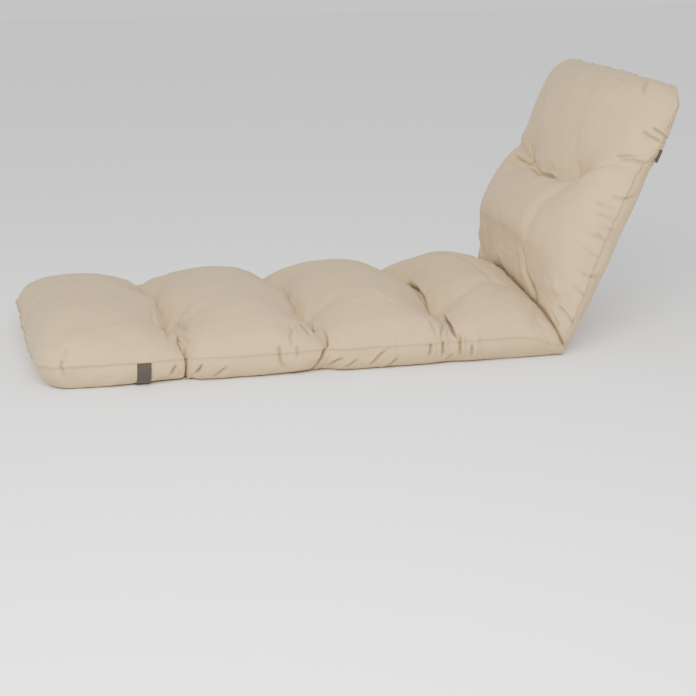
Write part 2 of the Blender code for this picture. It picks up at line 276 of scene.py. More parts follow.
# Studio
FLOOR_SIZE = 14.0
FLOOR_DROP = 0.0005
FLOOR_COLOUR = (0.92, 0.92, 0.915)
SKY_COLOUR = (0.97, 0.985, 1.0)
SKY_STRENGTH = 1.0
LAMP_PLACE = (-0.85, -2.45, 1.75)
LAMP_AIM = (0.25, 0.0, 0.15)
LAMP_SIZE = (1.8, 1.4)
LAMP_ENERGY = 140.0
LAMP_COLOUR = (1.0, 0.98, 0.95)

# Camera, from the bend line, and its lens
CAMERA_FROM_BEND = (-1.337, -3.821, 1.100)
CAMERA_TURN = math.radians(-13.57)
CAMERA_DIP = math.radians(16.05)
CAMERA_LENS = 94.3
CAMERA_SENSOR = 36.0


def smooth(x):
    x = np.clip(x, 0.0, 1.0)
    return x * x * (3.0 - 2.0 * x)


def skew(row, across):
    shift = np.zeros(np.broadcast(row, across).shape)
    for channel in CHANNELS:
        side = np.where(across < 0, channel["near"], channel["far"])
        away = np.abs(row - channel["station"]) / channel["fade"]
        shift = shift + side * across * across * smooth(1.0 - away)
    return shift


def end_skew(row, across):
    return -HEAD_TURN * across * smooth((row - BACK_LENGTH + HEAD_REACH) / HEAD_REACH)


def half_width(row):
    left = np.minimum(row + SEAT_LENGTH, BACK_LENGTH - row)
    short = np.clip(CORNER_RADIUS - left, 0.0, CORNER_RADIUS)
    width = HALF_WIDTH + np.sqrt(CORNER_RADIUS**2 - short**2) - CORNER_RADIUS
    for channel in CHANNELS:
        away = (row - channel["station"]) / DRAW_REACH
        width = width - channel["draw"] * np.exp(-away * away)
    return width


def seam_height(row, across):
    away = row / SEAM_DIP_REACH
    height = SEAM_HEIGHT - SEAM_DIP * np.exp(-away * away)
    less = 1.0 - SEAM_FAR * smooth((across + 1.0) / 2.0)
    for drop, start, end in SEAM_DROPS:
        height = height - less * drop * smooth((row - start) / (end - start))
    return np.maximum(height, SEAM_LOWEST)


def channel_floor(channel, across):
    away = (np.abs(across) * HALF_WIDTH - TUFT_OFFSET) / TUFT_REACH
    filled = channel["fill"] * smooth(-2.4 * across - 1.24)
    filled = filled + channel.get("fill_far", 0.0) * smooth(2.5 * across - 1.5)
    return channel["floor"] + filled - channel["sink"] * np.exp(-away * away)


def filled_height(row, across):
    lines = [channel["station"] for channel in CHANNELS]
    starts = [-SEAT_LENGTH, *lines]
    ends = [*lines, BACK_LENGTH]
    height = np.zeros(np.broadcast(row, across).shape)
    for index, section in enumerate(SECTIONS):
        inside = (row >= starts[index]) & (row <= ends[index] + 1e-9)
        share = (row - starts[index]) / (ends[index] - starts[index])
        crown = section["crown"]
        before = channel_floor(CHANNELS[index - 1], across) if index else crown
        after = channel_floor(CHANNELS[index], across) if index < len(CHANNELS) else crown
        peak = section["peak"]
        early = share < peak
        reach = np.where(early, 1.0 - share / peak, (share - peak) / (1.0 - peak))
        low = np.where(early, before, after)
        arch = np.clip(1.0 - np.clip(reach, 0, 1) ** section["power"], 0, 1) ** SECTION_ROUND
        height = np.where(inside, low + (crown - low) * arch, height)
    return height


def rounding(share):
    return np.sqrt(np.clip(1.0 - np.clip(np.abs(share), 0, 1) ** EDGE_POWER, 0, 1))


def top_height(row, across):
    foot = rounding(1.0 - np.clip((row + SEAT_LENGTH) / FOOT_ROUNDING, 0, 1))
    head = rounding(1.0 - np.clip((BACK_LENGTH - row) / HEAD_ROUNDING, 0, 1))
    seam = seam_height(row, across)
    return seam + (filled_height(row, across) - seam) * rounding(across) * foot * head


def place(station, y, height):
    """Stations, distances across and heights as points of the part's frame."""
    station, y, height = np.broadcast_arrays(station, y, height)
    press = smooth(1.0 - np.abs(station) / PRESS_REACH)
    rest = math.pi - BACK_ANGLE - PRESS_ANGLE
    seat_x = station - press * height / math.tan(PRESS_ANGLE)
    rise = height * (1.0 - press * (1.0 - math.sin(rest) / math.sin(PRESS_ANGLE)))
    along = station + press * rise / math.tan(rest)
    cos, sin = math.cos(BACK_ANGLE), math.sin(BACK_ANGLE)
    x = np.where(station <= 0, seat_x, along * cos - rise * sin)
    z = np.where(station <= 0, height, along * sin + rise * cos)
    return np.stack([x + BEND_X, y, z], axis=-1)


def evenly(values, points, spacing):
    """Values along their line, FINER of them in each spacing at their place."""
    steps = np.linalg.norm(np.diff(points, axis=0), axis=1)
    run = np.concatenate([[0.0], np.cumsum(steps / ((spacing[1:] + spacing[:-1]) / 2))])
    count = FINER * round(run[-1])
    return np.interp(np.linspace(0.0, run[-1], count + 1), run, values)


def rows_of_cloth():
    fine = np.linspace(-SEAT_LENGTH, BACK_LENGTH, PROFILE_SAMPLES)
    line = np.stack([fine, top_height(fine, np.full_like(fine, 0.25))], axis=-1)
    away = np.min([np.abs(fine - channel["station"]) for channel in CHANNELS], axis=0)
    wide = smooth((away - CHANNEL_NEAR) / (CHANNEL_FAR - CHANNEL_NEAR))
    rows = evenly(fine, line, CHANNEL_SPACING + (ROW_SPACING - CHANNEL_SPACING) * wide)
    rows[np.argmin(np.abs(rows))] = 0.0
    return rows


def side_arc():
    """Across values from -1 to 1, and the length of cloth from the middle to each."""
    fine = np.linspace(-1.0, 1.0, PROFILE_SAMPLES)
    crown = SECTIONS[1]["crown"] - SEAM_HEIGHT
    line = np.stack([fine * HALF_WIDTH, rounding(fine) * crown], axis=-1)
    steps = np.linalg.norm(np.diff(line, axis=0), axis=1)
    run = np.concatenate([[0.0], np.cumsum(steps)])
    return fine, run - run[-1] / 2, line


def columns_of_cloth():
    fine, _, line = side_arc()
    return evenly(fine, line, NEAR_SPACING + (FAR_SPACING - NEAR_SPACING) * smooth(fine / 2 + 0.75))


def unfold(y):
    """A distance across as a length of cloth from the middle, going on down the side."""
    fine, run, _ = side_arc()
    y = np.asarray(y, float)
    over = np.maximum(np.abs(y) - HALF_WIDTH, 0.0)
    return np.interp(y / HALF_WIDTH, fine, run) + np.sign(y) * over


def seam_loop(last_row, last_column):
    """The seam as row and column numbers, counter-clockwise from above."""
    loop = [(i, 0) for i in range(last_row)]
    loop += [(last_row, j) for j in range(last_column)]
    loop += [(i, last_column) for i in range(last_row, 0, -1)]
    loop += [(0, j) for j in range(last_column, 0, -1)]
    return tuple(np.array(loop).T)


def inward(station, y):
    side = HALF_WIDTH - CORNER_RADIUS
    middle = np.clip(station, CORNER_RADIUS - SEAT_LENGTH, BACK_LENGTH - CORNER_RADIUS)
    way = np.stack([middle - station, np.clip(y, -side, side) - y], axis=-1)
    return way / np.linalg.norm(way, axis=-1, keepdims=True)


def cloth_form():
    """The cover before it settles: a top grid, and rings from the seam down to the underside.

    Gives both as points, both as flat places on the cloth, and the rows."""
    rows, columns = rows_of_cloth(), columns_of_cloth()
    row, across = rows[:, None], columns[None, :]
    station = row + skew(row, across) + end_skew(row, across)
    y = half_width(row) * across
    top = place(station, y, top_height(row, across))
    spread = unfold(columns * HALF_WIDTH)
    flat = np.stack([station, np.broadcast_to(spread, station.shape)], axis=-1)

    loop = seam_loop(len(rows) - 1, len(columns) - 1)
    seam_row, seam_station, seam_y = rows[loop[0]], station[loop], y[loop]
    way = inward(seam_station, seam_y)
    on_back = smooth(seam_row / PRESS_REACH)
    inset = UNDER_INSET_SEAT + (UNDER_INSET_BACK - UNDER_INSET_SEAT) * on_back
    side = (loop[1] == 0) | (loop[1] == len(columns) - 1)
    groove = side & (np.abs(seam_row - STRAPS["strap_foot"]) <= GROOVE_HALF)
    high = seam_height(seam_row, columns[loop[1]])
    rim, rim_flat = [top[loop]], [flat[loop]]
    run, last = np.zeros(len(side)), (np.zeros(len(side)), high)
    for step in range(1, RINGS + 1):
        angle = math.pi / 2 * step / RINGS
        shift = inset * (1 - math.cos(angle))
        height = high * (1 - math.sin(angle))
        height = np.where(groove, np.maximum(height, GROOVE_DEPTH), height)
        run = run + np.hypot(shift - last[0], height - last[1])
        last = (shift, height)
        moved = way * shift[:, None]
        rim.append(place(seam_station + moved[:, 0], seam_y + moved[:, 1], height))
        rim_flat.append(flat[loop] - way * run[:, None])
    return top, np.array(rim), flat, np.array(rim_flat), rows


def panels(top, rim):
    """Points and faces of a top grid with its rings, and the point numbers of the rings."""
    count, width = top.shape[:2]
    grid = np.arange(count * width).reshape(count, width)
    rings, around = rim.shape[0] - 1, rim.shape[1]
    lower = count * width + np.arange(rings * around).reshape(rings, around)
    ring = np.vstack([grid[seam_loop(count - 1, width - 1)], lower])
    wall = np.hstack([ring, ring[:, :1]])
    faces = [
        np.stack([a[:-1, :-1], a[1:, :-1], a[1:, 1:], a[:-1, 1:]], axis=-1).reshape(-1, 4)
        for a in (grid, wall)
    ]
    points = np.concatenate([top.reshape(-1, 3), rim[1:].reshape(-1, 3)])
    return points, np.concatenate(faces), ring


def new_cloth(name, points, faces):
    mesh = bpy.data.meshes.new(name)
    mesh.from_pydata(points.tolist(), [], [list(face) for face in faces])
    mesh.update()
    made = bpy.data.objects.new(name, mesh)
    bpy.context.scene.collection.objects.link(made)
    return made


def settle(top, rim, flat):
    """Fills a coarse copy of the cover with pressure, and gives how far its cloth moves."""
    points, faces, ring = panels(top, rim)
    cloth = new_cloth("settling", points, faces.tolist())
    spread = flat.reshape(-1, 2)
    tufts = []
    for channel in CHANNELS:
        for side in (-1, 1):
            across = side * TUFT_OFFSET / HALF_WIDTH
            station = channel["station"] + float(skew(np.float64(channel["station"]), across))
            away = np.hypot(spread[:, 0] - station, spread[:, 1] - unfold(side * TUFT_OFFSET))
            tufts += [int(np.argmin(away)), *np.flatnonzero(away < TUFT_PIN).tolist()]
    fixed = np.unique(tufts + ring[-1].tolist())
    held = cloth.vertex_groups.new(name="held")
    held.add(fixed.tolist(), 1.0, "REPLACE")
    gather = cloth.vertex_groups.new(name="gather")
    edge = np.zeros(len(points))
    from_edge = unfold(HALF_WIDTH) - np.abs(spread[:, 1])
    edge[: len(spread)] = np.exp(-((from_edge / GATHER_REACH) ** 2))
    edge[ring[1]] = 1.0
    for level in range(1, 11):
        chosen = np.flatnonzero(np.round(edge * 10) == level)
        gather.add(chosen.tolist(), level / 10, "REPLACE")

    random = np.random.default_rng(7)
    rough = points + random.normal(0.0, ROUGH, points.shape)
    rough[fixed] = points[fixed]
    cloth.data.vertices.foreach_set("co", rough.ravel())

    modifier = cloth.modifiers.new("settle", "CLOTH")
    settings = modifier.settings
    for name, value in CLOTH_SETTINGS.items():
        setattr(settings, name, value)
    settings.vertex_group_mass = "held"
    settings.vertex_group_shrink = "gather"
    settings.shrink_min = -SLACK
    settings.shrink_max = SEAM_GATHER
    settings.use_pressure = True
    settings.uniform_pressure_force = PRESSURE
    settings.effector_weights.gravity = 0.0
    modifier.point_cache.frame_start = 1
    modifier.point_cache.frame_end = FRAMES
    scene = bpy.context.scene
    for number in range(1, FRAMES + 1):
        scene.frame_set(number)
    settled = cloth.evaluated_get(bpy.context.evaluated_depsgraph_get()).data
    moved = np.zeros(points.size)
    settled.vertices.foreach_get("co", moved)
    moved = moved.reshape(-1, 3) - points
    scene.frame_set(1)
    mesh = cloth.data
    bpy.data.objects.remove(cloth)
    bpy.data.meshes.remove(mesh)
    far = np.linalg.norm(moved, axis=1)
    print("settle: %d points, mean move %.4f, largest %.4f" % (len(points), far.mean(), far.max()))
    return moved[: len(spread)].reshape(top.shape), moved[ring]


def blur(values, radius, axis, around):
    reach = int(3 * radius)
    kernel = np.exp(-0.5 * (np.arange(-reach, reach + 1) / radius) ** 2)
    line = np.moveaxis(values, axis, 0)
    pads = [(reach, reach)] + [(0, 0)] * (line.ndim - 1)
    padded = np.pad(line, pads, mode="wrap" if around else "edge")
    soft = sum(k * padded[i : i + len(line)] for i, k in enumerate(kernel)) / kernel.sum()
    return np.moveaxis(soft, 0, axis)


def finer(values, axis, around):
    """Twice as many values along an axis, the new ones on a smooth curve between the old."""
    line = np.moveaxis(values, axis, 0)
    ends = (line[-1:], line[:2]) if around else (line[:1], line[-1:])
    padded = np.concatenate([ends[0], line, ends[1]])
    middle = (9 * (padded[1:-2] + padded[2:-1]) - padded[:-3] - padded[3:]) / 16
    fine = np.empty((len(line) + len(middle), *line.shape[1:]))
    fine[0::2], fine[1::2] = line, middle
    return np.moveaxis(fine, 0, axis)


def wrinkles(moved, around):
    """The folds in how the cloth moved, without its crumple and its broad swell, on the fine mesh."""
    folded = blur(blur(moved, FINE_RADIUS, 0, False), FINE_RADIUS, 1, around)
    broad = blur(blur(moved, SOFT_RADIUS, 0, False), SOFT_RADIUS, 1, around)
    kept = FOLDS_KEPT * (folded - broad) + SOFT_KEPT * broad
    far = np.linalg.norm(kept, axis=-1, keepdims=True)
    kept = kept * np.minimum(1.0, LIMIT / np.maximum(far, 1e-9))
    for _ in range(int(math.log2(FINER))):
        kept = finer(finer(kept, 0, False), 1, around)
    return kept


def crease_rise(flat):
    """Rise of the cloth at flat places, from the named folds and creases, and the painted shade that
    darkens the colour in their deeper ones.
    """
    rise, shade = np.zeros(len(flat)), np.zeros(len(flat))
    for _, wide, depth, lip, run in CREASES:
        wide, depth, lip = wide / 1000, CREASE_SCALE * depth / 1000, CREASE_SCALE * lip / 1000
        line = np.array([(station, float(unfold(y))) for station, y in run])
        steps = np.diff(line, axis=0)
        lengths = np.linalg.norm(steps, axis=1)
        total = lengths.sum()
        low, high = line.min(axis=0) - 4 * wide, line.max(axis=0) + 4 * wide
        near = np.flatnonzero(((flat > low) & (flat < high)).all(axis=1))
        best = np.full(len(near), 1e9)
        signed = np.zeros(len(near))
        where = np.zeros(len(near))
        before = 0.0
        for start, step, length in zip(line, steps, lengths):
            way = step / length
            off = flat[near] - start
            along = np.clip(off @ way, 0.0, length)
            rest = off - along[:, None] * way
            away = np.linalg.norm(rest, axis=1)
            side = np.sign(way[0] * off[:, 1] - way[1] * off[:, 0])
            closer = away < best
            best = np.where(closer, away, best)
            signed = np.where(closer, away * side, signed)
            where = np.where(closer, (before + along) / total, where)
            before += length
        taper = smooth(where * 5 + 0.4) * smooth((1 - where) * 2)
        shape = depth * np.exp(-((best / wide) ** 2))
        beside = signed - math.copysign(LIP_OFFSET * wide, lip)
        shape += abs(lip) * np.exp(-((beside / (LIP_WIDTH * wide)) ** 2))
        rise[near] += taper * shape
        # Painted shade: the cloth colour darkened along the deeper creases, strongest on the crease line
        dark = np.clip(-depth / CREASE_DARK - SHADE_FROM, 0, 1) * taper
        dark = dark * np.exp(-((best / (SHADE_WIDTH * wide)) ** 2))
        shade[near] = np.maximum(shade[near], dark)
    return rise, shade


def uneven(run, length, seed):
    """Smooth random values from -1 to 1 along a closed line, of uneven wavelength."""
    random = np.random.default_rng(seed)
    places = np.cumsum(random.uniform(0.4, 1.6, round(run[-1] / length)))
    heights = random.normal(0.0, 0.5, len(places))
    where = run / run[-1] * places[-1]
    before = np.searchsorted(places, where, side="right") % len(places)
    start, end = places[before - 1], places[before]
    share = np.mod(where - start, places[-1]) / np.mod(end - start, places[-1])
    return heights[before - 1] + (heights[before] - heights[before - 1]) * smooth(share)


def swell(points):
    """Broad soft unevenness of the filling."""
    random = np.random.default_rng(3)
    rise = np.zeros(len(points))
    for _ in range(SWELL_WAVES):
        way = random.normal(0.0, 1.0, 3)
        way *= 2 * math.pi / (random.uniform(*SWELL_LENGTHS) * np.linalg.norm(way))
        rise += np.sin(points @ way + random.uniform(0, 2 * math.pi))
    return SWELL * rise / 3


def seam_rise(top, rim, loop):
    """Rise at the seam: its raised edge, and puckers that run out into the cloth beside it."""
    count, width = top.shape[:2]
    steps_down = np.linalg.norm(np.diff(top, axis=0), axis=-1)
    steps_over = np.linalg.norm(np.diff(top, axis=1), axis=-1)
    from_foot = np.vstack([np.zeros((1, width)), np.cumsum(steps_down, axis=0)])
    from_near = np.hstack([np.zeros((count, 1)), np.cumsum(steps_over, axis=1)])
    run = np.cumsum(np.linalg.norm(rim[0] - np.roll(rim[0], 1, axis=0), axis=1))
    pucker = uneven(run, PUCKER_LENGTH, 11) * (1 + 0.7 * uneven(run, 6 * PUCKER_LENGTH, 12))
    ends = (loop[0] == 0) | (loop[0] == count - 1)
    pucker = pucker * np.where(ends, END_PUCKER, 1.0)
    around = np.zeros((count, width))
    around[loop] = pucker
    rise = np.zeros((count, width))
    sides = [
        (from_near, around[:, :1]),
        (from_near[:, -1:] - from_near, around[:, -1:]),
        (from_foot, around[:1]),
        (from_foot[-1:] - from_foot, around[-1:]),
    ]
    nearest = np.min([away for away, _ in sides], axis=0)
    for away, line in sides:
        rise += PUCKER * line * np.exp(-away / PUCKER_REACH) * (away <= nearest + 1e-6)
    rise += SEAM_EDGE * np.exp(-((nearest / SEAM_EDGE_REACH) ** 2))
    steps = np.linalg.norm(np.diff(rim, axis=0), axis=-1)
    down = np.vstack([np.zeros((1, len(pucker))), np.cumsum(steps, axis=0)])
    rim_rise = PUCKER * pucker * np.exp(-down / PUCKER_REACH)
    rim_rise += SEAM_EDGE * np.exp(-((down / SEAM_EDGE_REACH) ** 2))
    below = down - SEAM_SHADOW_DOWN
    rim_rise -= SEAM_SHADOW * np.exp(-((below / SEAM_SHADOW_REACH) ** 2))
    return rise, rim_rise * smooth(1.2 - 1.2 * np.arange(RINGS + 1) / RINGS)[:, None]


def clamp(points, stations):
    """Keeps the cloth above what it rests on, and seat and back on their sides of the bend."""
    points = points.copy()
    seat = stations <= 0
    away = np.array([-math.sin(PRESS_ANGLE), 0.0, -math.cos(PRESS_ANGLE)])
    gap = PRESS_GAP * np.minimum(1.0, np.abs(stations) / 0.02)
    depth = (points - [BEND_X, 0, 0]) @ away
    push = np.where(seat, np.maximum(gap - depth, 0), np.minimum(-gap - depth, 0))
    points += push[:, None] * away
    points[seat, 2] = np.maximum(points[seat, 2], 0.0)
    square = np.array([-math.sin(BACK_ANGLE), 0.0, math.cos(BACK_ANGLE)])
    height = (points - [BEND_X, 0, 0]) @ square
    points += np.where(seat, 0, np.maximum(-height, 0))[:, None] * square
    points[:, 2] = np.maximum(points[:, 2], 0.0)
    return points


def seam_cord(line, outward):
    """The sewn edge itself: a thin closed tube of cloth along the seam."""
    run = np.roll(line, -1, axis=0) - np.roll(line, 1, axis=0)
    run /= np.linalg.norm(run, axis=1, keepdims=True)
    across = outward - np.sum(outward * run, axis=1, keepdims=True) * run
    across /= np.linalg.norm(across, axis=1, keepdims=True)
    up = np.cross(run, across)
    tube = []
    for turn in np.arange(SEAM_SIDES) * 2 * math.pi / SEAM_SIDES:
        tall, wide = SEAM_CORD
        tube.append(line + across * (tall * (0.55 + math.cos(turn))) + up * (wide * math.sin(turn)))
    tube = np.array(tube)
    sides, count = tube.shape[:2]
    grid = np.arange(sides * count).reshape(sides, count)
    after, beside = np.roll(grid, -1, axis=1), np.roll(grid, -1, axis=0)
    faces = np.stack([grid, after, np.roll(after, -1, axis=0), beside], axis=-1).reshape(-1, 4)
    return tube.reshape(-1, 3), faces


def underside(ring, loop, rows, width):
    """Flat faces that close the underside, split where its level or slope changes."""
    last = len(rows) - 1
    at = {(int(i), int(j)): int(ring[-1][k]) for k, (i, j) in enumerate(zip(*loop))}
    near = [at[(i, 0)] for i in range(last + 1)]
    far = [at[(i, width - 1)] for i in range(last + 1)]
    foot = [at[(0, j)] for j in range(1, width - 1)]
    head = [at[(last, j)] for j in range(1, width - 1)]
    groove = np.abs(rows - STRAPS["strap_foot"]) <= GROOVE_HALF
    changes = np.flatnonzero(groove[1:] != groove[:-1])
    bend = int(np.argmin(np.abs(rows)))
    breaks = sorted({0, last, bend, *changes.tolist(), *(changes + 1).tolist()})
    faces = []
    for first, second in zip(breaks, breaks[1:]):
        face = far[first : second + 1]
        face += head[::-1] if second == last else []
        face += near[first : second + 1][::-1]
        face += foot if first == 0 else []
        faces.append(face)
    return faces


def dressed_cover():
    top, rim, flat, rim_flat, rows = cloth_form()
    loop = seam_loop(top.shape[0] - 1, top.shape[1] - 1)
    moved, rim_moved = settle(*(part[::FINER, ::FINER] for part in (top, rim, flat)))
    top = top + wrinkles(moved, False)
    still = smooth(2.0 - 2.0 * np.arange(RINGS + 1) / RINGS)[:, None, None]
    rim = rim + wrinkles(rim_moved, True) * still
    rim[0] = top[loop]
    points, faces, ring = panels(top, rim)
    stations = np.concatenate([flat[..., 0].ravel(), rim_flat[1:, :, 0].ravel()])
    spread = np.concatenate([flat.reshape(-1, 2), rim_flat[1:].reshape(-1, 2)])
    row_of = np.concatenate([np.repeat(rows, top.shape[1]), np.tile(rows[loop[0]], RINGS)])
    rise, rim_rise = seam_rise(top, rim, loop)
    creased, shade = crease_rise(spread)
    rise = np.concatenate([rise.ravel(), rim_rise[1:].ravel()]) + creased + swell(points)
    # Painted shade along the bend line, where seat and back press together
    bend_painted_shade = np.exp(-((stations / BEND_SHADE_REACH) ** 2))
    bend_painted_shade[top.shape[0] * top.shape[1] :] = 0.0
    shade = np.maximum(shade, bend_painted_shade)
    rise[ring[-1]] = 0.0

    faces = faces.tolist() + underside(ring, loop, rows, top.shape[1])
    cover = new_cloth("cushion_cover", points, faces)
    normals = np.zeros(points.size)
    cover.data.vertex_normals.foreach_get("vector", normals)
    base = points[ring[-1]]
    points = points + normals.reshape(-1, 3) * rise[:, None]
    points = clamp(points, row_of)
    points[ring[-1]] = base
    groove = np.abs(row_of - STRAPS["strap_foot"]) <= GROOVE_HALF
    points[groove, 2] = np.maximum(points[groove, 2], GROOVE_DEPTH)
    cover.data.vertices.foreach_set("co", points.ravel())
    cover.data.update()
    cover.data.vertex_normals.foreach_get("vector", normals)
    line, outward = points[ring[0]], normals.reshape(-1, 3)[ring[0]]
    cord, cord_faces = seam_cord(line, outward)
    cord_flat = np.tile(spread[ring[0]], (SEAM_SIDES, 1))
    old = cover.data
    mesh = bpy.data.meshes.new("cushion_cover")
    faces += (cord_faces + len(points)).tolist()
    mesh.from_pydata(np.concatenate([points, cord]).tolist(), [], faces)
    cover.data = mesh
    bpy.data.meshes.remove(old)
    spread = np.concatenate([spread, cord_flat])
    # The painted shade goes to the material as a point attribute; the seam cord takes the shade at the
    # seam
    folds = mesh.attributes.new("painted_fold_shade", "FLOAT", "POINT")
    folds.data.foreach_set("value", np.concatenate([shade, np.tile(shade[ring[0]], SEAM_SIDES)]))
    cloth_map = cover.data.uv_layers.new(name="cloth")
    corners = np.zeros(len(cover.data.loops), int)
    cover.data.loops.foreach_get("vertex_index", corners)
    cloth_map.data.foreach_set("uv", spread[corners].ravel())
    cover.data.update()
    triangles = sum(len(face) - 2 for face in faces)
    print("cover: %d rows, %d columns, %d triangles" % (len(rows), top.shape[1], triangles))
    return cover, points[ring], rows[loop[0]]


def strap_path(station, rim, rim_rows):
    """The strap's line, near seam to far seam round the underside, as (y, height)."""
    square = np.array([0.0, 0.0, 1.0])
    if station > 0:
        square = np.array([-math.sin(BACK_ANGLE), 0.0, math.cos(BACK_ANGLE)])
    close = np.abs(rim_rows - station) <= STRAP_WIDTH / 2 + 0.0015
    heights = (rim - [BEND_X, 0, 0]) @ square
    path = []
    for side in (-1, 1):
        chosen = close & (rim[0, :, 1] * side > 0)
        outer = (side * rim[:, chosen, 1]).max(axis=1)
        line = np.stack([side * outer, heights[:, chosen].min(axis=1)], axis=-1)
        line[0] += STRAP_START * (line[1] - line[0])
        path.append(line if side < 0 else line[::-1])
    path = np.concatenate(path)
    run = np.concatenate([[0.0], np.cumsum(np.linalg.norm(np.diff(path, axis=0), axis=1))])
    where = np.linspace(0.0, run[-1], STRAP_STEPS)
    path = np.stack([np.interp(where, run, path[:, k]) for k in (0, 1)], axis=-1)
    way = np.gradient(path, axis=0)
    way /= np.linalg.norm(way, axis=1, keepdims=True)
    return path, np.stack([way[:, 1], -way[:, 0]], axis=-1), run[-1]


def strap(name, station, rim, rim_rows, material):
    """A flat elastic strap with thicker selvedges, as a closed sheet."""
    path, out, length = strap_path(station, rim, rim_rows)
    shares = np.linspace(-0.5, 0.5, STRAP_COLUMNS)
    layers = []
    for outer in (0, 1):
        layer = []
        for share in shares:
            edge = STRAP_EDGE * math.exp(-(((0.5 - abs(share)) / 0.05) ** 2))
            line = path + out * (STRAP_CLEAR + outer * (STRAP_THICK + edge))
            layer.append(place_flat(station + share * STRAP_WIDTH, line))
        layers.append(np.array(layer))
    inner, outer = layers
    count = STRAP_STEPS
    grid = np.arange(2 * STRAP_COLUMNS * count).reshape(2, STRAP_COLUMNS, count)
    around = np.concatenate([grid[0], grid[1][::-1]])
    closed = np.concatenate([around, around[:1]])
    faces = np.stack([closed[:-1, :-1], closed[:-1, 1:], closed[1:, 1:], closed[1:, :-1]], axis=-1)
    faces = faces.reshape(-1, 4).tolist()
    for end, turn in ((0, 1), (-1, -1)):
        for k in range(STRAP_COLUMNS - 1):
            face = [int(grid[a, b, end]) for a, b in ((0, k), (0, k + 1), (1, k + 1), (1, k))]
            faces.append(face[::turn])
    points = np.concatenate([inner.reshape(-1, 3), outer.reshape(-1, 3)])
    made = new_cloth(name + "_webbing", points, faces)
    select_only(made)
    bpy.ops.object.mode_set(mode="EDIT")
    bpy.ops.mesh.select_all(action="SELECT")
    bpy.ops.mesh.normals_make_consistent(inside=False)
    bpy.ops.object.mode_set(mode="OBJECT")
    mesh = made.data
    corners = np.zeros(len(mesh.loops), int)
    mesh.loops.foreach_get("vertex_index", corners)
    column, step = (corners // count) % STRAP_COLUMNS, corners % count
    spread = np.stack([shares[column] * STRAP_WIDTH, step / (count - 1) * length], axis=-1)
    mesh.uv_layers.new(name="cloth").data.foreach_set("uv", spread.ravel())
    mesh.materials.append(material)
    mesh.shade_smooth()
    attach(made, "root")
    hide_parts(name)
    print("strap %s: %.3f m" % (name, length))
    return made


def place_flat(station, line):
    """Points of a line of (y, height) across the cushion at a station of the flat underside."""
    cos, sin = math.cos(BACK_ANGLE), math.sin(BACK_ANGLE)
    y, height = line[:, 0], line[:, 1]
    if station < 0:
        return np.stack([np.full_like(y, BEND_X + station), y, height], axis=-1)
    return np.stack([BEND_X + station * cos - height * sin, y, station * sin + height * cos], axis=-1)


def select_only(made):
    bpy.ops.object.select_all(action="DESELECT")
    made.select_set(True)
    bpy.context.view_layer.objects.active = made


def node(tree, kind, **inputs):
    made = tree.nodes.new(kind)
    for name, value in inputs.items():
        made.inputs[name].default_value = value
    return made


def maths(tree, operation, a, b=None):
    made = tree.nodes.new("ShaderNodeMath")
    made.operation = operation
    for socket, value in zip(made.inputs, (a, b)):
        if value is None:
            continue
        if isinstance(value, (int, float)):
            socket.default_value = value
        else:
            tree.links.new(value, socket)
    return made.outputs[0]


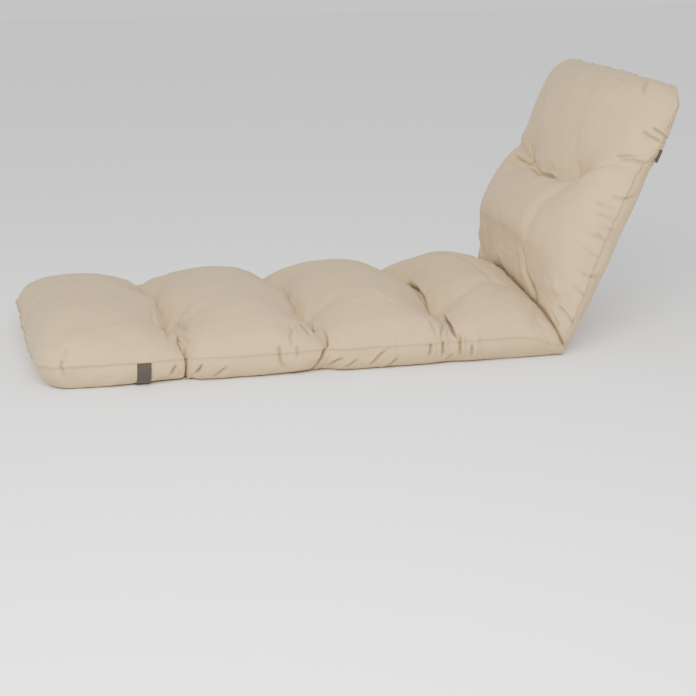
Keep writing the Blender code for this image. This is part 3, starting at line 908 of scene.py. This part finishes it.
def woven_material(name, colours, fold_shade_colour, thread, roughness, sheen):
    """Plain weave on the cloth's own flat places, with uneven threads, a soft mottle, and painted shade
    multiplied into the colour from the fold attribute.
    """
    made = bpy.data.materials.new(name)
    made.use_nodes = True
    tree = made.node_tree
    link = tree.links.new
    shader = tree.nodes["Principled BSDF"]
    places = tree.nodes.new("ShaderNodeUVMap")
    places.uv_map = "cloth"
    split = tree.nodes.new("ShaderNodeSeparateXYZ")
    link(places.outputs["UV"], split.inputs[0])
    waves = []
    for axis in ("X", "Y"):
        turn = maths(tree, "MULTIPLY", split.outputs[axis], math.pi / thread)
        waves.append(maths(tree, "SINE", turn))
    warp, weft = [maths(tree, "ABSOLUTE", wave) for wave in waves]
    over = maths(tree, "GREATER_THAN", maths(tree, "MULTIPLY", waves[0], waves[1]), 0.0)
    under = maths(tree, "SUBTRACT", 1.0, over)
    weave = maths(tree, "ADD", maths(tree, "MULTIPLY", warp, over), maths(tree, "MULTIPLY", weft, under))

    slubs = []
    for along, aside in SLUB_SCALES:
        stretch = tree.nodes.new("ShaderNodeVectorMath")
        stretch.operation = "MULTIPLY"
        stretch.inputs[1].default_value = (along, aside, 1.0)
        link(places.outputs["UV"], stretch.inputs[0])
        noise = node(tree, "ShaderNodeTexNoise", Scale=1.0, Detail=2.0, Roughness=0.5)
        link(stretch.outputs[0], noise.inputs["Vector"])
        slubs.append(noise.outputs["Fac"])
    slub = maths(tree, "MULTIPLY", maths(tree, "ADD", slubs[0], slubs[1]), 0.5)
    coords = tree.nodes.new("ShaderNodeTexCoord")
    mottle = node(tree, "ShaderNodeTexNoise", Scale=7.0, Detail=3.0, Roughness=0.55)
    link(coords.outputs["Object"], mottle.inputs["Vector"])
    patchy = maths(tree, "MULTIPLY", mottle.outputs["Fac"], 0.6)
    tone = maths(tree, "ADD", patchy, maths(tree, "MULTIPLY", slub, 0.4))
    ramp = tree.nodes.new("ShaderNodeValToRGB")
    for stop, position, colour in zip(ramp.color_ramp.elements, TONE_RANGE, colours):
        stop.position = position
        stop.color = (*colour, 1.0)
    link(tone, ramp.inputs["Fac"])
    # Painted shade: the colour multiplied towards the shade colour where the fold attribute is high
    folded = tree.nodes.new("ShaderNodeAttribute")
    folded.attribute_name = "painted_fold_shade"
    painted_shade_mix = tree.nodes.new("ShaderNodeMix")
    painted_shade_mix.data_type = "RGBA"
    painted_shade_mix.blend_type = "MULTIPLY"
    link(folded.outputs["Fac"], painted_shade_mix.inputs[0])
    link(ramp.outputs["Color"], painted_shade_mix.inputs[6])
    painted_shade_mix.inputs[7].default_value = (*fold_shade_colour, 1.0)
    link(painted_shade_mix.outputs[2], shader.inputs["Base Color"])

    rough = node(tree, "ShaderNodeMapRange")
    rough.inputs["To Min"].default_value = roughness - ROUGHNESS_SPREAD
    rough.inputs["To Max"].default_value = roughness + ROUGHNESS_SPREAD
    link(slub, rough.inputs["Value"])
    link(rough.outputs[0], shader.inputs["Roughness"])
    shader.inputs["Sheen Weight"].default_value = sheen
    shader.inputs["Sheen Roughness"].default_value = 0.5

    crumple = node(tree, "ShaderNodeTexNoise", Scale=38.0, Detail=3.0, Roughness=0.5)
    link(coords.outputs["Object"], crumple.inputs["Vector"])
    soft = node(tree, "ShaderNodeBump", Strength=0.35, Distance=CRUMPLE_HEIGHT)
    link(crumple.outputs["Fac"], soft.inputs["Height"])
    fine = node(tree, "ShaderNodeBump", Strength=0.5, Distance=THREAD_HEIGHT)
    threads = maths(tree, "ADD", weave, maths(tree, "MULTIPLY", slub, 0.8))
    link(threads, fine.inputs["Height"])
    link(soft.outputs["Normal"], fine.inputs["Normal"])
    link(fine.outputs["Normal"], shader.inputs["Normal"])
    return made


def plain_material(name, colour, roughness):
    made = bpy.data.materials.new(name)
    made.use_nodes = True
    shader = made.node_tree.nodes["Principled BSDF"]
    shader.inputs["Base Color"].default_value = (*colour, 1.0)
    shader.inputs["Roughness"].default_value = roughness
    return made


def lamp(name, place_at, aim, size, energy, colour):
    data = bpy.data.lights.new(name, "AREA")
    data.shape = "RECTANGLE"
    data.size, data.size_y = size
    data.energy = energy
    data.color = colour
    holder = bpy.data.objects.new(name, data)
    bpy.context.scene.collection.objects.link(holder)
    holder.location = place_at
    way = Vector(aim) - holder.location
    holder.rotation_euler = way.to_track_quat("-Z", "Y").to_euler()


def studio():
    bpy.ops.object.select_all(action="DESELECT")
    bpy.ops.mesh.primitive_plane_add(size=FLOOR_SIZE, location=(0, 0, -FLOOR_DROP))
    floor = bpy.context.object
    floor.name = "floor"
    floor.data.materials.append(plain_material("pale_floor", FLOOR_COLOUR, 0.9))
    world = bpy.context.scene.world or bpy.data.worlds.new("studio")
    bpy.context.scene.world = world
    world.use_nodes = True
    background = world.node_tree.nodes["Background"]
    background.inputs["Color"].default_value = (*SKY_COLOUR, 1.0)
    background.inputs["Strength"].default_value = SKY_STRENGTH
    lamp("front_box", LAMP_PLACE, LAMP_AIM, LAMP_SIZE, LAMP_ENERGY, LAMP_COLOUR)


def camera():
    data = bpy.data.cameras.new("camera")
    data.sensor_width = CAMERA_SENSOR
    data.lens = CAMERA_LENS
    holder = bpy.data.objects.new("camera", data)
    bpy.context.scene.collection.objects.link(holder)
    x, y, z = CAMERA_FROM_BEND
    holder.location = (x + BEND_X, y, z)
    holder.rotation_euler = (math.pi / 2 - CAMERA_DIP, 0.0, CAMERA_TURN)
    bpy.context.scene.camera = holder


def main():
    cloth = woven_material("beige_cloth", CLOTH_COLOURS, PAINTED_SHADE_COLOUR, THREAD, 0.86, 0.10)
    webbing = woven_material("strap_webbing", STRAP_COLOURS, PAINTED_SHADE_COLOUR, STRAP_THREAD, 0.80, 0.05)
    cover, rim, rim_rows = dressed_cover()
    cover.data.materials.append(cloth)
    cover.data.shade_smooth()
    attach(cover, "root")
    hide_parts("cushion")
    for name, station in STRAPS.items():
        strap(name, station, rim, rim_rows, webbing)
    studio()
    camera()


main()
